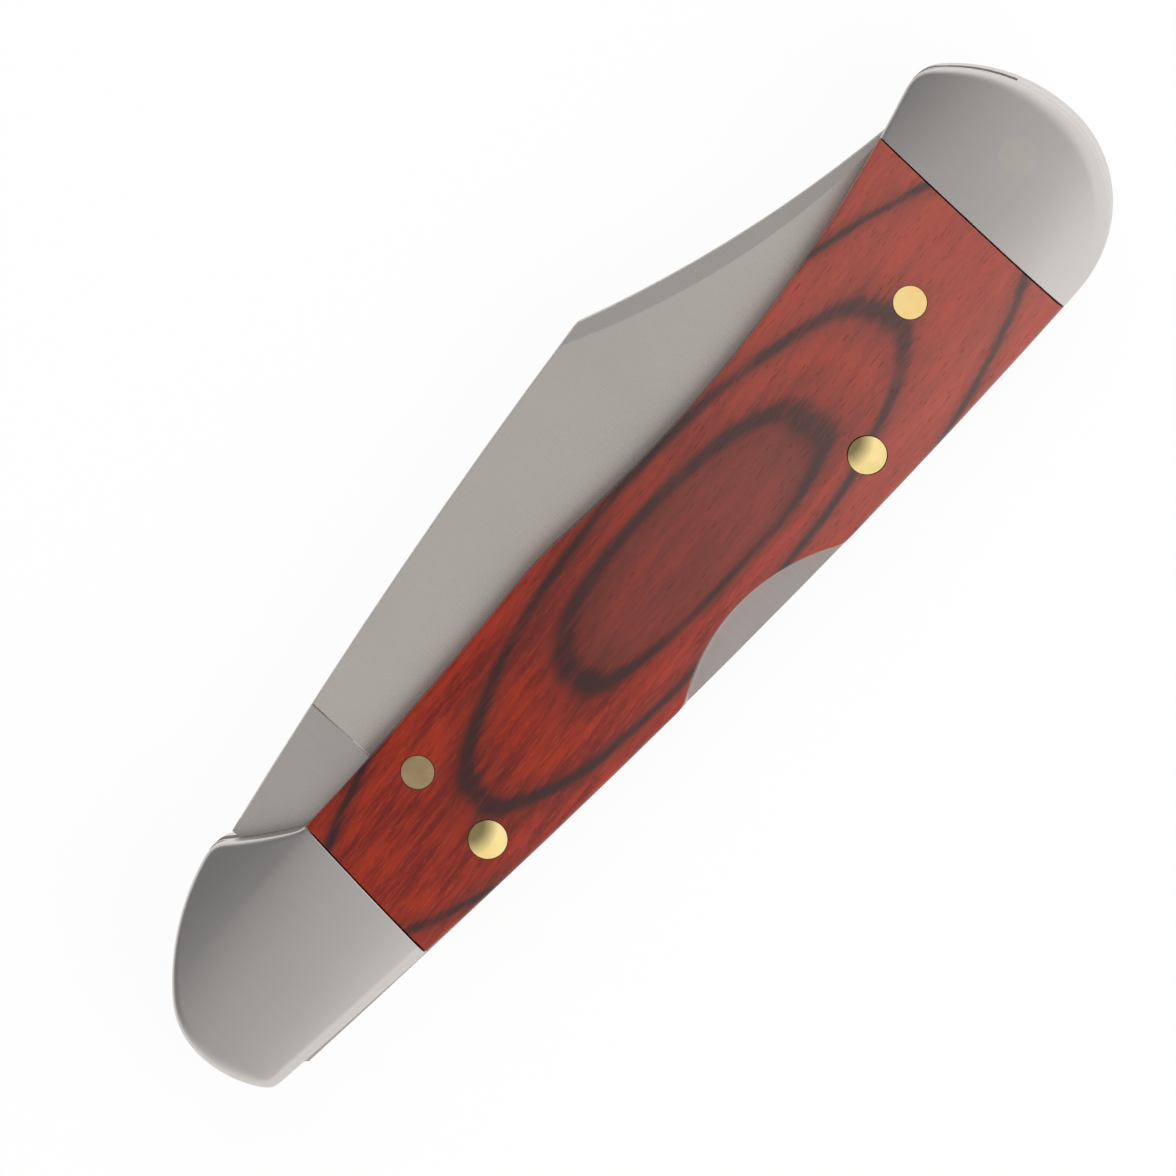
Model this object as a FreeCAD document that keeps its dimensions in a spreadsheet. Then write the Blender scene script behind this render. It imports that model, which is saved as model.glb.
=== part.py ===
import FreeCAD, Part
import math
import os
import re
from dataclasses import dataclass

import Sketcher

# Folding lock-back knife, closed, lying on its left side: +X runs from the pivot end to the butt,
# +Y to the side that the blade folds into, +Z up out of the right-hand scale.
# Sketches are drawn from the nose of the handle, on the handle's middle plane.

SIZES = {
    # Handle outline, from the nose at the pivot end to the butt
    "handle_length": 115.0,
    "nose_height": 0.4,
    "brow_x": 2.05,
    "brow_height": 5.6,
    "front_peak_x": 14.8,
    "front_peak_height": 12.56,
    "front_peak_radius": 1.7,
    "shoulder_radius": 45.0,
    "slot_front_inset": 0.4,
    "slot_front_height": 7.43,
    "slot_front_radius": 377.0,
    "crest_front_x": 50.7,
    "crest_front_height": 8.16,
    "crest_radius": 40.0,
    "crest_rear_x": 57.7,
    "crest_rear_height": 7.92,
    "waist_radius": 138.0,
    "rear_peak_inset": 6.25,
    "rear_peak_height": 12.92,
    "rear_peak_radius": 2.6,
    "butt_height": 0.2,
    "back_low_x": 90.7,
    "back_depth": 11.15,
    "back_radius": 820.0,
    "back_front_x": 2.3,
    "back_front_radius": 0.8,
    # Joints between bolsters and wood
    "front_joint_x": 21.3,
    "front_joint_lean": 0.0714,
    "rear_bolster_length": 12.68,
    "rear_joint_lean": 0.0112,
    # Thumb scoop
    "scoop_x": 62.45,
    "scoop_crest_depth": 7.65,
    "scoop_radius": 19.1,
    # Thicknesses
    "slot_gap": 3.2,
    "liner_thickness": 1.0,
    "scale_thickness": 4.3,
    "bolster_thickness": 4.5,
    "edge_round": 0.9,
    # Pins and rivets
    "pivot_x": 10.7,
    "pivot_height": 2.5,
    "pivot_diameter": 5.0,
    "lock_pin_x": 32.2,
    "lock_pin_depth": 5.4,
    "spacer_pin_x": 80.7,
    "spacer_pin_depth": 7.1,
    "domed_pin_diameter": 3.5,
    "dome_rise": 0.18,
    "rear_pin_inset": 5.4,
    "rear_pin_height": 1.0,
    "rear_pin_diameter": 3.5,
    "rivet_front_x": 32.4,
    "rivet_front_height": 3.3,
    "rivet_rear_inset": 21.6,
    "rivet_rear_depth": 0.7,
    "rivet_diameter": 3.0,
    "press_clearance": 0.01,
    "running_clearance": 0.04,
    "washer_thickness": 0.2,
    "washer_diameter": 10.0,
    # Blade
    "tang_radius": 6.2,
    "tang_heel_reach": 3.55,
    "tang_corner_height": 12.05,
    "choil_x": 29.1,
    "choil_depth": 1.0,
    "plunge_x": 29.7,
    "edge_straight_x": 62.7,
    "edge_straight_height": 0.4,
    "belly_radius": 115.0,
    "tip_inset": 8.5,
    "tip_height": 11.0,
    "clip_radius": 126.0,
    "blade_peak_x": 71.35,
    "blade_peak_height": 20.1,
    "spine_radius": 579.0,
    "grind_height": 13.6,
    "grind_land": 0.5,
    "grind_reach": 2.0,
    "nick_x": 62.7,
    "nick_height": 17.0,
    "nick_half_length": 5.5,
    "nick_slope": 0.145,
    "nick_radius": 8.5,
    "nick_sink": 0.5,
    # Lock bar, its lug and the notch in the tang
    "lug_reach": 5.5,
    "lug_length": 3.0,
    "lug_clearance": 0.25,
    "lug_chamfer": 0.5,
    "lock_drop": 1.0,
    "notch_clearance": 0.2,
    "flat_margin": 0.7,
    "under_tang_gap": 1.2,
    "lock_proud": 0.35,
    "lock_back_radius": 1100.0,
    "lock_boss_radius": 3.4,
    "lock_boss_half": 2.9,
    "lock_rear_x": 74.7,
    "lock_rear_depth": 6.3,
    "lock_side_clearance": 0.05,
    # Back spacer and the spring seated in it
    "spacer_gap": 0.6,
    "spacer_top_depth": 2.6,
    "spacer_bend_inset": 18.3,
    "spacer_bend_radius": 11.0,
    "spacer_top_inset": 9.1,
    "spacer_top_height": 5.7,
    "spring_thickness": 1.0,
    "spring_seat_depth": 4.6,
    "spring_seat_length": 7.4,
    "spring_tip_x": 58.2,
    "spring_lift": 0.1,
    "spring_nose": 1.0,
    "spring_side_clearance": 0.1,
}


@dataclass(frozen=True)
class Corner:
    """Corner of an outline, with the radius of the arc that leads to the next corner."""

    x: str
    y: str
    radius: str = ""
    hollow: bool = False


doc = FreeCAD.newDocument("pocket_knife")
sheet = doc.addObject("Spreadsheet::Sheet", "Sizes")
for row, (alias, size) in enumerate(SIZES.items(), start=1):
    sheet.set(f"A{row}", alias)
    sheet.set(f"B{row}", str(size))
    sheet.setAlias(f"B{row}", alias)
doc.recompute()


# Formulas over the sizes
def bound(formula):
    """Formula with every size named as a cell of the sheet."""
    return re.sub(r"[a-z][a-z_]*", lambda word: f"Sizes.{word[0]}" if word[0] in SIZES else word[0], formula)


def value(formula):
    """Number that a formula gives with the present sizes."""
    result = sheet.evalExpression(bound(formula))
    return float(getattr(result, "Value", result))


def back_line(x):
    """Height of the handle's back edge at x."""
    return f"(back_radius - back_depth - sqrt(back_radius ^ 2 - ({x} - back_low_x) ^ 2))"


def upright_radius(run, rise):
    """Radius of an arc that starts upright and ends at this run and rise."""
    return f"((({run}) ^ 2 + ({rise}) ^ 2) / (2 * ({run})))"


LINER_FACE = "(slot_gap / 2)"
SCALE_FACE = "(slot_gap / 2 + liner_thickness)"
SCALE_TOP = f"({SCALE_FACE} + scale_thickness)"
BOLSTER_TOP = f"({SCALE_FACE} + bolster_thickness)"
BLADE_HALF = "(slot_gap / 2 - washer_thickness)"
SIDES = {"left": -1, "right": 1}
NEAR = 0.0001

FRAME_SHIFT = ("-handle_length / 2", "(back_depth - blade_peak_height) / 2", BOLSTER_TOP)

REAR_JOINT_X = "(handle_length - rear_bolster_length)"
PIVOT = ("pivot_x", "pivot_height")
LOCK_PIN = ("lock_pin_x", "-lock_pin_depth")
SPACER_PIN = ("spacer_pin_x", "-spacer_pin_depth")
REAR_PIN = ("(handle_length - rear_pin_inset)", "rear_pin_height")
RIVETS = {
    "front": ("rivet_front_x", "rivet_front_height"),
    "rear": ("(handle_length - rivet_rear_inset)", "-rivet_rear_depth"),
}

# Butt, rounded from the back edge without a kink
BACK_CENTRE_Y = "(back_radius - back_depth)"
BUTT_RUN = "(handle_length - back_low_x)"
BUTT_RISE = f"(butt_height - {BACK_CENTRE_Y})"
BUTT_RADIUS = f"((back_radius ^ 2 - {BUTT_RUN} ^ 2 - {BUTT_RISE} ^ 2) / (2 * (back_radius - {BUTT_RUN})))"
BUTT_REACH = f"(back_radius / (back_radius - {BUTT_RADIUS}))"
BUTT_TOP_RADIUS = upright_radius("rear_peak_inset", "rear_peak_height - butt_height")

# Nose, and the brow that runs from it without a kink to the front peak
NOSE_RADIUS = upright_radius("brow_x", "brow_height - nose_height")
BROW_RUN = "(front_peak_x - brow_x)"
BROW_RISE = "(front_peak_height - brow_height)"
BROW_LEAN = f"({BROW_RUN} * ({NOSE_RADIUS} - brow_x) + {BROW_RISE} * (nose_height - brow_height))"
BROW_RADIUS = f"(({BROW_RUN} ^ 2 + {BROW_RISE} ^ 2) * {NOSE_RADIUS} / (2 * {BROW_LEAN}))"

# Corners of the handle outline that are rounded upright, each with its radius
FRONT_PEAK = ("front_peak_x", "front_peak_height", "front_peak_radius")
REAR_PEAK = ("handle_length - rear_peak_inset", "rear_peak_height", "rear_peak_radius")
BACK_FRONT = ("back_front_x", back_line("back_front_x"), "back_front_radius")

# Handle outline, along the back, round the butt, along the slot and round the nose
SLOT_FRONT_X = "(front_joint_x + front_joint_lean * slot_front_height - slot_front_inset)"
HANDLE = [
    Corner(*BACK_FRONT[:2], "back_radius"),
    Corner(
        f"back_low_x + ({BUTT_RUN} - {BUTT_RADIUS}) * {BUTT_REACH}",
        f"{BACK_CENTRE_Y} + {BUTT_RISE} * {BUTT_REACH}",
        BUTT_RADIUS,
    ),
    Corner("handle_length", "butt_height", BUTT_TOP_RADIUS),
    Corner(*REAR_PEAK[:2], "waist_radius", hollow=True),
    Corner("crest_rear_x", "crest_rear_height", "crest_radius"),
    Corner("crest_front_x", "crest_front_height", "slot_front_radius", hollow=True),
    Corner(SLOT_FRONT_X, "slot_front_height", "shoulder_radius", hollow=True),
    Corner(*FRONT_PEAK[:2], BROW_RADIUS),
    Corner("brow_x", "brow_height", NOSE_RADIUS),
    Corner("0", "nose_height", upright_radius("back_front_x", f"nose_height - {back_line('back_front_x')}")),
]

# Lug of the lock bar, which drops into the tang's notch when the blade is open
LUG_REAR_REACH = "(lug_reach - lug_length)"
LUG_FRONT_X = "(pivot_x - lug_reach)"
LUG_REAR_X = f"(pivot_x - {LUG_REAR_REACH})"
LUG_Y = f"(pivot_height - sqrt((tang_radius + lug_clearance) ^ 2 - {LUG_REAR_REACH} ^ 2))"
FLAT_Y = f"({LUG_Y} + lock_drop + notch_clearance)"
NOTCH_FLOOR_Y = f"(2 * pivot_height - {FLAT_Y})"
NOTCH_WALL_X = "(pivot_x + lug_reach + notch_clearance)"
NOTCH_STEP_REACH = f"({LUG_REAR_REACH} - notch_clearance)"
FLAT_WALL_REACH = f"({LUG_REAR_REACH} - flat_margin)"


def tang_drop(reach):
    """Height or depth of the tang's round above or below the pivot, at this reach from it."""
    return f"sqrt(tang_radius ^ 2 - ({reach}) ^ 2)"


BLADE = [
    Corner("pivot_x + tang_heel_reach", f"pivot_height - {tang_drop('tang_heel_reach')}"),
    Corner("choil_x", "-choil_depth"),
    Corner("edge_straight_x", "edge_straight_height", "belly_radius"),
    Corner("handle_length - tip_inset", "tip_height", "clip_radius", hollow=True),
    Corner("blade_peak_x", "blade_peak_height", "spine_radius"),
    Corner(NOTCH_WALL_X, "tang_corner_height"),
    Corner(NOTCH_WALL_X, NOTCH_FLOOR_Y),
    Corner(f"pivot_x + {NOTCH_STEP_REACH}", NOTCH_FLOOR_Y),
    Corner(f"pivot_x + {NOTCH_STEP_REACH}", f"pivot_height + {tang_drop(NOTCH_STEP_REACH)}", "tang_radius"),
    Corner(f"pivot_x - {tang_drop(f'pivot_height - {FLAT_Y}')}", FLAT_Y),
    Corner(f"pivot_x - {FLAT_WALL_REACH}", FLAT_Y),
    Corner(f"pivot_x - {FLAT_WALL_REACH}", f"pivot_height - {tang_drop(FLAT_WALL_REACH)}", "tang_radius"),
]

LOCK_BACK_X = f"({LUG_FRONT_X} + lug_chamfer)"
LOCK_BACK_Y = f"({back_line(LOCK_BACK_X)} - lock_proud)"
UNDER_TANG_Y = "(pivot_height - tang_radius - under_tang_gap)"
BOSS_Y = "(sqrt(lock_boss_radius ^ 2 - lock_boss_half ^ 2) - lock_pin_depth)"
LOCK_BAR = [
    Corner(LOCK_BACK_X, LOCK_BACK_Y, "lock_back_radius"),
    Corner("lock_rear_x", back_line("lock_rear_x")),
    Corner("lock_rear_x", "-lock_rear_depth"),
    Corner("lock_pin_x + lock_boss_half", BOSS_Y, "lock_boss_radius"),
    Corner("lock_pin_x - lock_boss_half", BOSS_Y),
    Corner(LUG_REAR_X, UNDER_TANG_Y),
    Corner(LUG_REAR_X, LUG_Y),
    Corner(LUG_FRONT_X, LUG_Y),
    Corner(LUG_FRONT_X, f"{LOCK_BACK_Y} + lug_chamfer"),
]

# Space that the back spacer leaves open for the lock bar and the blade
SPACER_FRONT_X = "(lock_rear_x + spacer_gap)"
SPACER_SPACE = [
    Corner("-handle_length", "-handle_length"),
    Corner(SPACER_FRONT_X, "-handle_length"),
    Corner(SPACER_FRONT_X, "-spacer_top_depth"),
    Corner("handle_length - spacer_bend_inset", "-spacer_top_depth", "spacer_bend_radius"),
    Corner("handle_length - spacer_top_inset", "spacer_top_height"),
    Corner("2 * handle_length", "spacer_top_height"),
    Corner("2 * handle_length", "handle_length"),
    Corner("-handle_length", "handle_length"),
]

# Leaf spring, from its seat in the spacer to its tip just above the lock bar's rear arm
SPRING_REAR_X = f"({SPACER_FRONT_X} + spring_seat_length)"
SPRING_TOP_Y = "(spring_thickness - spring_seat_depth)"
LOCK_ARM_SLOPE = f"((lock_rear_depth + {BOSS_Y}) / (lock_rear_x - lock_pin_x - lock_boss_half))"
SPRING_TIP_Y = f"(spring_lift - lock_rear_depth + {LOCK_ARM_SLOPE} * (lock_rear_x - spring_tip_x))"
SPRING = [
    Corner(SPRING_REAR_X, "-spring_seat_depth"),
    Corner(SPRING_REAR_X, SPRING_TOP_Y),
    Corner(SPACER_FRONT_X, SPRING_TOP_Y),
    Corner("spring_tip_x", f"{SPRING_TIP_Y} + spring_thickness"),
    Corner("spring_tip_x - spring_nose", f"{SPRING_TIP_Y} + spring_thickness"),
    Corner("spring_tip_x", SPRING_TIP_Y),
    Corner(SPACER_FRONT_X, "-spring_seat_depth"),
]
SPRING_SEAT = [
    Corner(f"{SPACER_FRONT_X} - spring_nose", "-spring_seat_depth"),
    Corner(SPRING_REAR_X, "-spring_seat_depth"),
    Corner(SPRING_REAR_X, SPRING_TOP_Y),
    Corner(f"{SPACER_FRONT_X} - spring_nose", SPRING_TOP_Y),
]

# Bevels ground into both sides of the blade, across its height and thickness
GRIND_EDGE_Y = "(-choil_depth - grind_reach)"
GRIND_OUTER = f"({BLADE_HALF} + grind_land)"
GRINDS = [
    [
        Corner("grind_height", f"{side} * {BLADE_HALF}"),
        Corner("grind_height", f"{side} * {GRIND_OUTER}"),
        Corner(GRIND_EDGE_Y, f"{side} * {GRIND_OUTER}"),
        Corner(GRIND_EDGE_Y, f"{side} * grind_land / 2"),
    ]
    for side in SIDES.values()
]

NICK_RISE = "(nick_slope * nick_half_length)"
NAIL_NICK = [
    Corner("nick_x - nick_half_length", f"nick_height - {NICK_RISE}", "nick_radius"),
    Corner("nick_x + nick_half_length", f"nick_height + {NICK_RISE}"),
]


# Sketches and features
def new_body(label, x="0", y="0"):
    """Empty body that stands at x and y of the handle."""
    body = doc.addObject("PartDesign::Body", label)
    body.Label = label
    for axis, place, shift in zip("xyz", (x, y, "0"), FRAME_SHIFT):
        body.setExpression(f"Placement.Base.{axis}", bound(f"{place} + {shift}"))
    return body


def new_sketch(body, name, plane="XY_Plane", offset="0"):
    """Sketch on one of the body's own planes, moved off it by an offset."""
    sketch = body.newObject("Sketcher::SketchObject", f"{body.Label}_{name}")
    support = next(feature for feature in body.Origin.OriginFeatures if feature.Role == plane)
    sketch.AttachmentSupport = [(support, "")]
    sketch.MapMode = "FlatFace"
    sketch.setExpression("AttachmentOffset.Base.z", bound(offset))
    return sketch


def constrain(sketch, kind, place, formula):
    """Dimension of a sketch, bound to a formula."""
    index = sketch.addConstraint(Sketcher.Constraint(kind, *place, value(formula)))
    sketch.setExpression(f"Constraints[{index}]", bound(formula))


def arc_between(start, end, radius, hollow):
    """Short arc between two points: a hollow one has its centre on the right of the way."""
    chord = end - start
    across = FreeCAD.Vector(-chord.y, chord.x, 0).normalize()
    rise = math.sqrt(radius**2 - (chord.Length / 2) ** 2)
    centre = (start + end) / 2 + across * (-rise if hollow else rise)
    first, last = (end, start) if hollow else (start, end)
    angles = [math.atan2(point.y - centre.y, point.x - centre.x) for point in (first, last)]
    return Part.ArcOfCircle(Part.Circle(centre, FreeCAD.Vector(0, 0, 1), radius), *angles)


def draw_outline(sketch, corners):
    """Closed outline through the corners, each one held by its own two dimensions."""
    points = [FreeCAD.Vector(value(corner.x), value(corner.y), 0) for corner in corners]
    starts = []
    ends = []
    for index, corner in enumerate(corners):
        start = points[index]
        end = points[(index + 1) % len(points)]
        if corner.radius:
            arc = arc_between(start, end, value(corner.radius), corner.hollow)
            edge = sketch.addGeometry(arc)
            constrain(sketch, "Radius", (edge,), corner.radius)
        else:
            edge = sketch.addGeometry(Part.LineSegment(start, end))
        starts.append((edge, 2 if corner.hollow else 1))
        ends.append((edge, 1 if corner.hollow else 2))
    for index, corner in enumerate(corners):
        sketch.addConstraint(Sketcher.Constraint("Coincident", *ends[index - 1], *starts[index]))
        constrain(sketch, "DistanceX", starts[index], corner.x)
        constrain(sketch, "DistanceY", starts[index], corner.y)


def draw_circle(sketch, centre, radius):
    """Circle with a bound centre and radius."""
    middle = FreeCAD.Vector(value(centre[0]), value(centre[1]), 0)
    edge = sketch.addGeometry(Part.Circle(middle, FreeCAD.Vector(0, 0, 1), value(radius)))
    constrain(sketch, "Radius", (edge,), radius)
    constrain(sketch, "DistanceX", (edge, 3), centre[0])
    constrain(sketch, "DistanceY", (edge, 3), centre[1])


def add_pad(body, sketch, length, downward=False, symmetric=False):
    """Solid raised from a sketch."""
    pad = body.newObject("PartDesign::Pad", f"{body.Label}_pad")
    pad.Profile = sketch
    pad.setExpression("Length", bound(length))
    pad.Reversed = downward
    if symmetric:
        pad.SideType = "Symmetric"
    return pad


def cut_through(body, sketch):
    """Cut through the whole body, to both sides of the sketch."""
    pocket = body.newObject("PartDesign::Pocket", f"{sketch.Name}_cut")
    pocket.Profile = sketch
    pocket.SideType = "Symmetric"
    pocket.Type = "ThroughAll"
    return pocket


def cut_holes(body, holes):
    """Round holes through the body: each a centre, a diameter and a radial clearance."""
    sketch = new_sketch(body, "holes")
    for centre, diameter, clearance in holes:
        draw_circle(sketch, centre, f"{diameter} / 2 + {clearance}")
    cut_through(body, sketch)


def cut_joint(body, name, joint_x, lean, far_x):
    """Takes off what lies between a leaning joint line and a far line."""
    sketch = new_sketch(body, name)
    low = f"{joint_x} - {lean} * handle_length"
    high = f"{joint_x} + {lean} * handle_length"
    draw_outline(
        sketch,
        [
            Corner(low, "-handle_length"),
            Corner(far_x, "-handle_length"),
            Corner(far_x, "handle_length"),
            Corner(high, "handle_length"),
        ],
    )
    cut_through(body, sketch)


def cut_scoop(body):
    """Thumb scoop in the back edge."""
    sketch = new_sketch(body, "scoop")
    draw_circle(sketch, ("scoop_x", "-scoop_crest_depth - scoop_radius"), "scoop_radius")
    cut_through(body, sketch)


def round_corners(body, corners):
    """Rounds upright edges of the handle outline, each by its own radius."""
    for x, y, radius in corners:
        doc.recompute()
        plate = body.Tip
        corner = FreeCAD.Vector(value(x), value(y), 0)
        upright = [
            f"Edge{index}"
            for index, edge in enumerate(plate.Shape.Edges, start=1)
            if all((FreeCAD.Vector(end.X, end.Y, 0) - corner).Length < NEAR for end in edge.Vertexes)
        ]
        fillet = body.newObject("PartDesign::Fillet", f"{body.Label}_corner")
        fillet.Base = (plate, upright)
        fillet.setExpression("Radius", bound(radius))


def round_rim(body, side, top):
    """Rounds the outer edges that follow the handle's curved outline."""
    doc.recompute()
    height = SIDES[side] * value(top)
    plate = body.Tip
    rim = [
        f"Edge{index}"
        for index, edge in enumerate(plate.Shape.Edges, start=1)
        if edge.Curve.TypeId == "Part::GeomCircle"
        and not edge.isClosed()
        and all(abs(end.Z - height) < NEAR for end in edge.Vertexes)
    ]
    fillet = body.newObject("PartDesign::Fillet", f"{body.Label}_rim")
    fillet.Base = (plate, rim)
    fillet.setExpression("Radius", bound("edge_round"))


def handle_plate(label, side, face, thickness):
    """Plate with the handle's outline, standing on one side of the slot."""
    body = new_body(label)
    sketch = new_sketch(body, "outline", offset=f"{SIDES[side]} * {face}")
    draw_outline(sketch, HANDLE)
    add_pad(body, sketch, thickness, downward=side == "left")
    return body


# Sub-parts
def make_liner(side):
    """Steel liner, which every pin passes through."""
    liner = handle_plate(f"liner_{side}", side, LINER_FACE, "liner_thickness")
    round_corners(liner, [FRONT_PEAK, REAR_PEAK, BACK_FRONT])
    cut_scoop(liner)
    cut_holes(
        liner,
        [
            (PIVOT, "pivot_diameter", "press_clearance"),
            (LOCK_PIN, "domed_pin_diameter", "press_clearance"),
            (SPACER_PIN, "domed_pin_diameter", "press_clearance"),
            (REAR_PIN, "rear_pin_diameter", "press_clearance"),
            *((place, "rivet_diameter", "press_clearance") for place in RIVETS.values()),
        ],
    )
    return liner


def make_scale(side):
    """Wood scale between the two bolsters."""
    scale = handle_plate(f"scale_{side}", side, SCALE_FACE, "scale_thickness")
    cut_joint(scale, "front_joint", "front_joint_x", "front_joint_lean", "-handle_length")
    cut_joint(scale, "rear_joint", REAR_JOINT_X, "rear_joint_lean", "2 * handle_length")
    round_rim(scale, side, SCALE_TOP)
    cut_scoop(scale)
    cut_holes(
        scale,
        [
            (LOCK_PIN, "domed_pin_diameter", "press_clearance"),
            (SPACER_PIN, "domed_pin_diameter", "press_clearance"),
            *((place, "rivet_diameter", "press_clearance") for place in RIVETS.values()),
        ],
    )
    return scale


def make_front_bolster(side):
    """Steel bolster that holds the pivot pin."""
    bolster = handle_plate(f"front_bolster_{side}", side, SCALE_FACE, "bolster_thickness")
    cut_joint(bolster, "joint", "front_joint_x", "front_joint_lean", "2 * handle_length")
    round_corners(bolster, [FRONT_PEAK, BACK_FRONT])
    round_rim(bolster, side, BOLSTER_TOP)
    cut_holes(bolster, [(PIVOT, "pivot_diameter", "press_clearance")])
    return bolster


def make_rear_bolster(side):
    """Steel bolster at the butt."""
    bolster = handle_plate(f"rear_bolster_{side}", side, SCALE_FACE, "bolster_thickness")
    cut_joint(bolster, "joint", REAR_JOINT_X, "rear_joint_lean", "-handle_length")
    round_corners(bolster, [REAR_PEAK])
    round_rim(bolster, side, BOLSTER_TOP)
    cut_holes(bolster, [(REAR_PIN, "rear_pin_diameter", "press_clearance")])
    return bolster


def make_blade():
    """Clip-point blade, ground thin towards its edge, with a nail nick on its left face."""
    blade = new_body("blade")
    outline = new_sketch(blade, "outline")
    draw_outline(outline, BLADE)
    add_pad(blade, outline, f"2 * {BLADE_HALF}", symmetric=True)
    cut_holes(blade, [(PIVOT, "pivot_diameter", "running_clearance")])
    for index, corners in enumerate(GRINDS):
        bevel = new_sketch(blade, f"bevel_{index}", plane="YZ_Plane", offset="plunge_x")
        draw_outline(bevel, corners)
        grind = blade.newObject("PartDesign::Pocket", f"{bevel.Name}_cut")
        grind.Profile = bevel
        grind.Type = "ThroughAll"
        grind.Reversed = True
    nick = new_sketch(blade, "nail_nick", offset=f"-{BLADE_HALF}")
    draw_outline(nick, NAIL_NICK)
    sink = blade.newObject("PartDesign::Pocket", "blade_nail_nick_cut")
    sink.Profile = nick
    sink.setExpression("Length", bound("nick_sink"))
    sink.Reversed = True
    return blade


def make_lock_bar():
    """Lock bar, which rocks on its pin: lug at the front, thumb end at the rear."""
    bar = new_body("lock_bar")
    outline = new_sketch(bar, "outline")
    draw_outline(outline, LOCK_BAR)
    add_pad(bar, outline, "slot_gap - 2 * lock_side_clearance", symmetric=True)
    cut_holes(bar, [(LOCK_PIN, "domed_pin_diameter", "running_clearance")])
    return bar


def make_back_spacer():
    """Spacer that closes the back behind the lock bar and the lower part of the butt."""
    spacer = new_body("back_spacer")
    outline = new_sketch(spacer, "outline")
    draw_outline(outline, HANDLE)
    add_pad(spacer, outline, "slot_gap", symmetric=True)
    space = new_sketch(spacer, "space")
    draw_outline(space, SPACER_SPACE)
    cut_through(spacer, space)
    seat = new_sketch(spacer, "spring_seat")
    draw_outline(seat, SPRING_SEAT)
    cut_through(spacer, seat)
    cut_holes(
        spacer,
        [
            (SPACER_PIN, "domed_pin_diameter", "press_clearance"),
            (REAR_PIN, "rear_pin_diameter", "press_clearance"),
        ],
    )
    return spacer


def make_lock_spring():
    """Leaf spring that presses the lock bar's rear arm outward."""
    spring = new_body("lock_spring")
    outline = new_sketch(spring, "outline")
    draw_outline(outline, SPRING)
    add_pad(spring, outline, "slot_gap - 2 * spring_side_clearance", symmetric=True)
    return spring


def make_flush_pin(label, centre, diameter):
    """Straight pin, flush with both bolsters."""
    pin = new_body(label, *centre)
    section = new_sketch(pin, "section")
    draw_circle(section, ("0", "0"), f"{diameter} / 2")
    add_pad(pin, section, f"2 * {BOLSTER_TOP}", symmetric=True)
    return pin


def make_domed_pin(label, centre):
    """Pin through both scales, with a low dome standing out of each."""
    pin = new_body(label, *centre)
    half = new_sketch(pin, "half_section", plane="XZ_Plane")
    radius = "(domed_pin_diameter / 2)"
    dome_radius = f"(({radius} ^ 2 + dome_rise ^ 2) / (2 * dome_rise))"
    draw_outline(
        half,
        [
            Corner("0", f"-{SCALE_TOP} - dome_rise", dome_radius),
            Corner(radius, f"-{SCALE_TOP}"),
            Corner(radius, SCALE_TOP, dome_radius),
            Corner("0", f"{SCALE_TOP} + dome_rise"),
        ],
    )
    turn = pin.newObject("PartDesign::Revolution", f"{label}_turn")
    turn.Profile = half
    turn.ReferenceAxis = (half, ["V_Axis"])
    turn.Angle = 360
    return pin


def make_scale_rivet(place, side):
    """Short rivet, flush with the scale and with the inside of the liner."""
    rivet = new_body(f"scale_rivet_{place}_{side}", *RIVETS[place])
    section = new_sketch(rivet, "section", offset=f"{SIDES[side]} * {LINER_FACE}")
    draw_circle(section, ("0", "0"), "rivet_diameter / 2")
    add_pad(rivet, section, f"{SCALE_TOP} - {LINER_FACE}", downward=side == "left")
    return rivet


def make_pivot_washer(side):
    """Thin washer between the tang and a liner."""
    washer = new_body(f"pivot_washer_{side}", *PIVOT)
    ring = new_sketch(washer, "ring", offset=f"{SIDES[side]} * {BLADE_HALF}")
    draw_circle(ring, ("0", "0"), "washer_diameter / 2")
    draw_circle(ring, ("0", "0"), "pivot_diameter / 2 + running_clearance")
    add_pad(washer, ring, "washer_thickness", downward=side == "left")
    return washer


def make_parts():
    """Every sub-part of the knife."""
    parts = [
        make_blade(),
        make_lock_bar(),
        make_back_spacer(),
        make_lock_spring(),
        make_flush_pin("pivot_pin", PIVOT, "pivot_diameter"),
        make_flush_pin("rear_bolster_pin", REAR_PIN, "rear_pin_diameter"),
        make_domed_pin("lock_bar_pin", LOCK_PIN),
        make_domed_pin("spacer_pin", SPACER_PIN),
    ]
    for side in SIDES:
        parts += [
            make_liner(side),
            make_scale(side),
            make_front_bolster(side),
            make_rear_bolster(side),
            make_pivot_washer(side),
        ]
        parts += [make_scale_rivet(place, side) for place in RIVETS]
    return parts


def check_parts(parts):
    """Stops when any feature failed, or a sub-part is not one valid solid."""
    doc.recompute()
    for feature in doc.Objects:
        if {"Invalid", "Error"} & set(feature.State):
            raise RuntimeError(f"{feature.Label} failed: {feature.State}")
    for part in parts:
        if part.Shape.isNull() or not part.Shape.isValid() or len(part.Shape.Solids) != 1:
            raise RuntimeError(f"{part.Label} is not one valid solid")


def write_parts(parts):
    """One STEP file per sub-part."""
    os.makedirs("parts", exist_ok=True)
    for part in parts:
        part.Shape.exportStep(f"parts/{part.Label}.step")
        print(f"{part.Label}: {part.Shape.Volume:.2f} cubic millimetres")


knife_parts = make_parts()
check_parts(knife_parts)
write_parts(knife_parts)
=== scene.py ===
"""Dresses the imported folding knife: ground steel, laminated wood and brass, under plain studio light."""

import logging
import math
from collections.abc import Iterator, Sequence
from contextlib import contextmanager
from dataclasses import dataclass, field
from enum import Enum

import bpy
from mathutils import Matrix, Vector


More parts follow.
